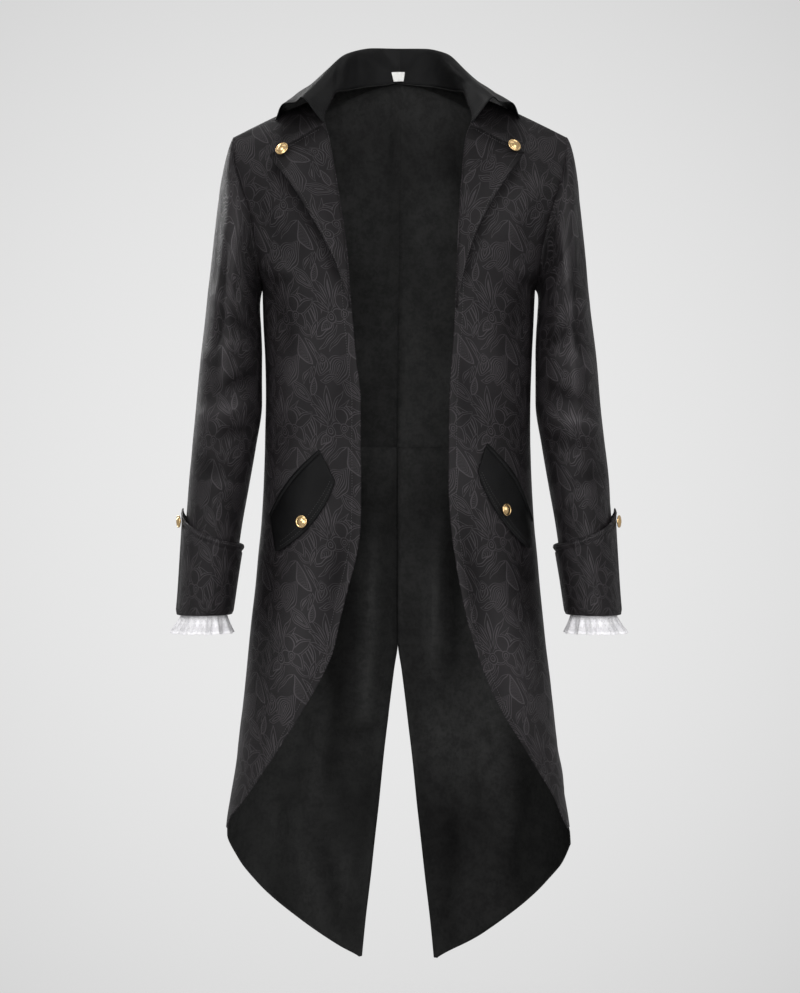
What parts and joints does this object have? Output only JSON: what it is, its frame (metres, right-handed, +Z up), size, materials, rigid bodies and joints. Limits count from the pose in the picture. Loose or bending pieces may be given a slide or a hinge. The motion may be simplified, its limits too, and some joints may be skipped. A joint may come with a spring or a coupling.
{
  "type": "frock coat",
  "caption": "Long black floral jacquard frock coat, worn open and hollow, with cutaway fronts, pointed tails, lapels, high collar, gauntlet cuffs and lace.",
  "frame": {"origin": "midway between the two neck points, at the level where the wearer's shoulders carry the coat", "axes": "+Z up, -Y the coat's front, +X the wearer's left"},
  "size_m": [0.6142, 0.2462, 1.2348],
  "materials": {
    "jacquard": "black floral jacquard with a soft sheen, the reverse smoother and darker",
    "satin": "plain black satin with edge stitching, on the collar and the pockets",
    "lace": "white machine lace, gathered",
    "brass": "polished warm gold, plain domed button with a rolled rim",
    "tape": "plain white woven tape, bare"
  },
  "bodies": {
    "root": {"front_left": "jacquard", "back_left": "jacquard", "tail_left": "jacquard", "lapel_left": "jacquard", "sleeve_left": "jacquard", "cuff_left": "jacquard", "lace_left": "lace", "pocket_flap_left": "satin", "pocket_welt_left": "satin", "lapel_button_left": "brass", "pocket_button_left": "brass", "cuff_button_left": "brass", "front_right": "jacquard", "back_right": "jacquard", "tail_right": "jacquard", "lapel_right": "jacquard", "sleeve_right": "jacquard", "cuff_right": "jacquard", "lace_right": "lace", "pocket_flap_right": "satin", "pocket_welt_right": "satin", "lapel_button_right": "brass", "pocket_button_right": "brass", "cuff_button_right": "brass", "collar": "satin", "neck_label": "tape"}
  },
  "joints": []
}
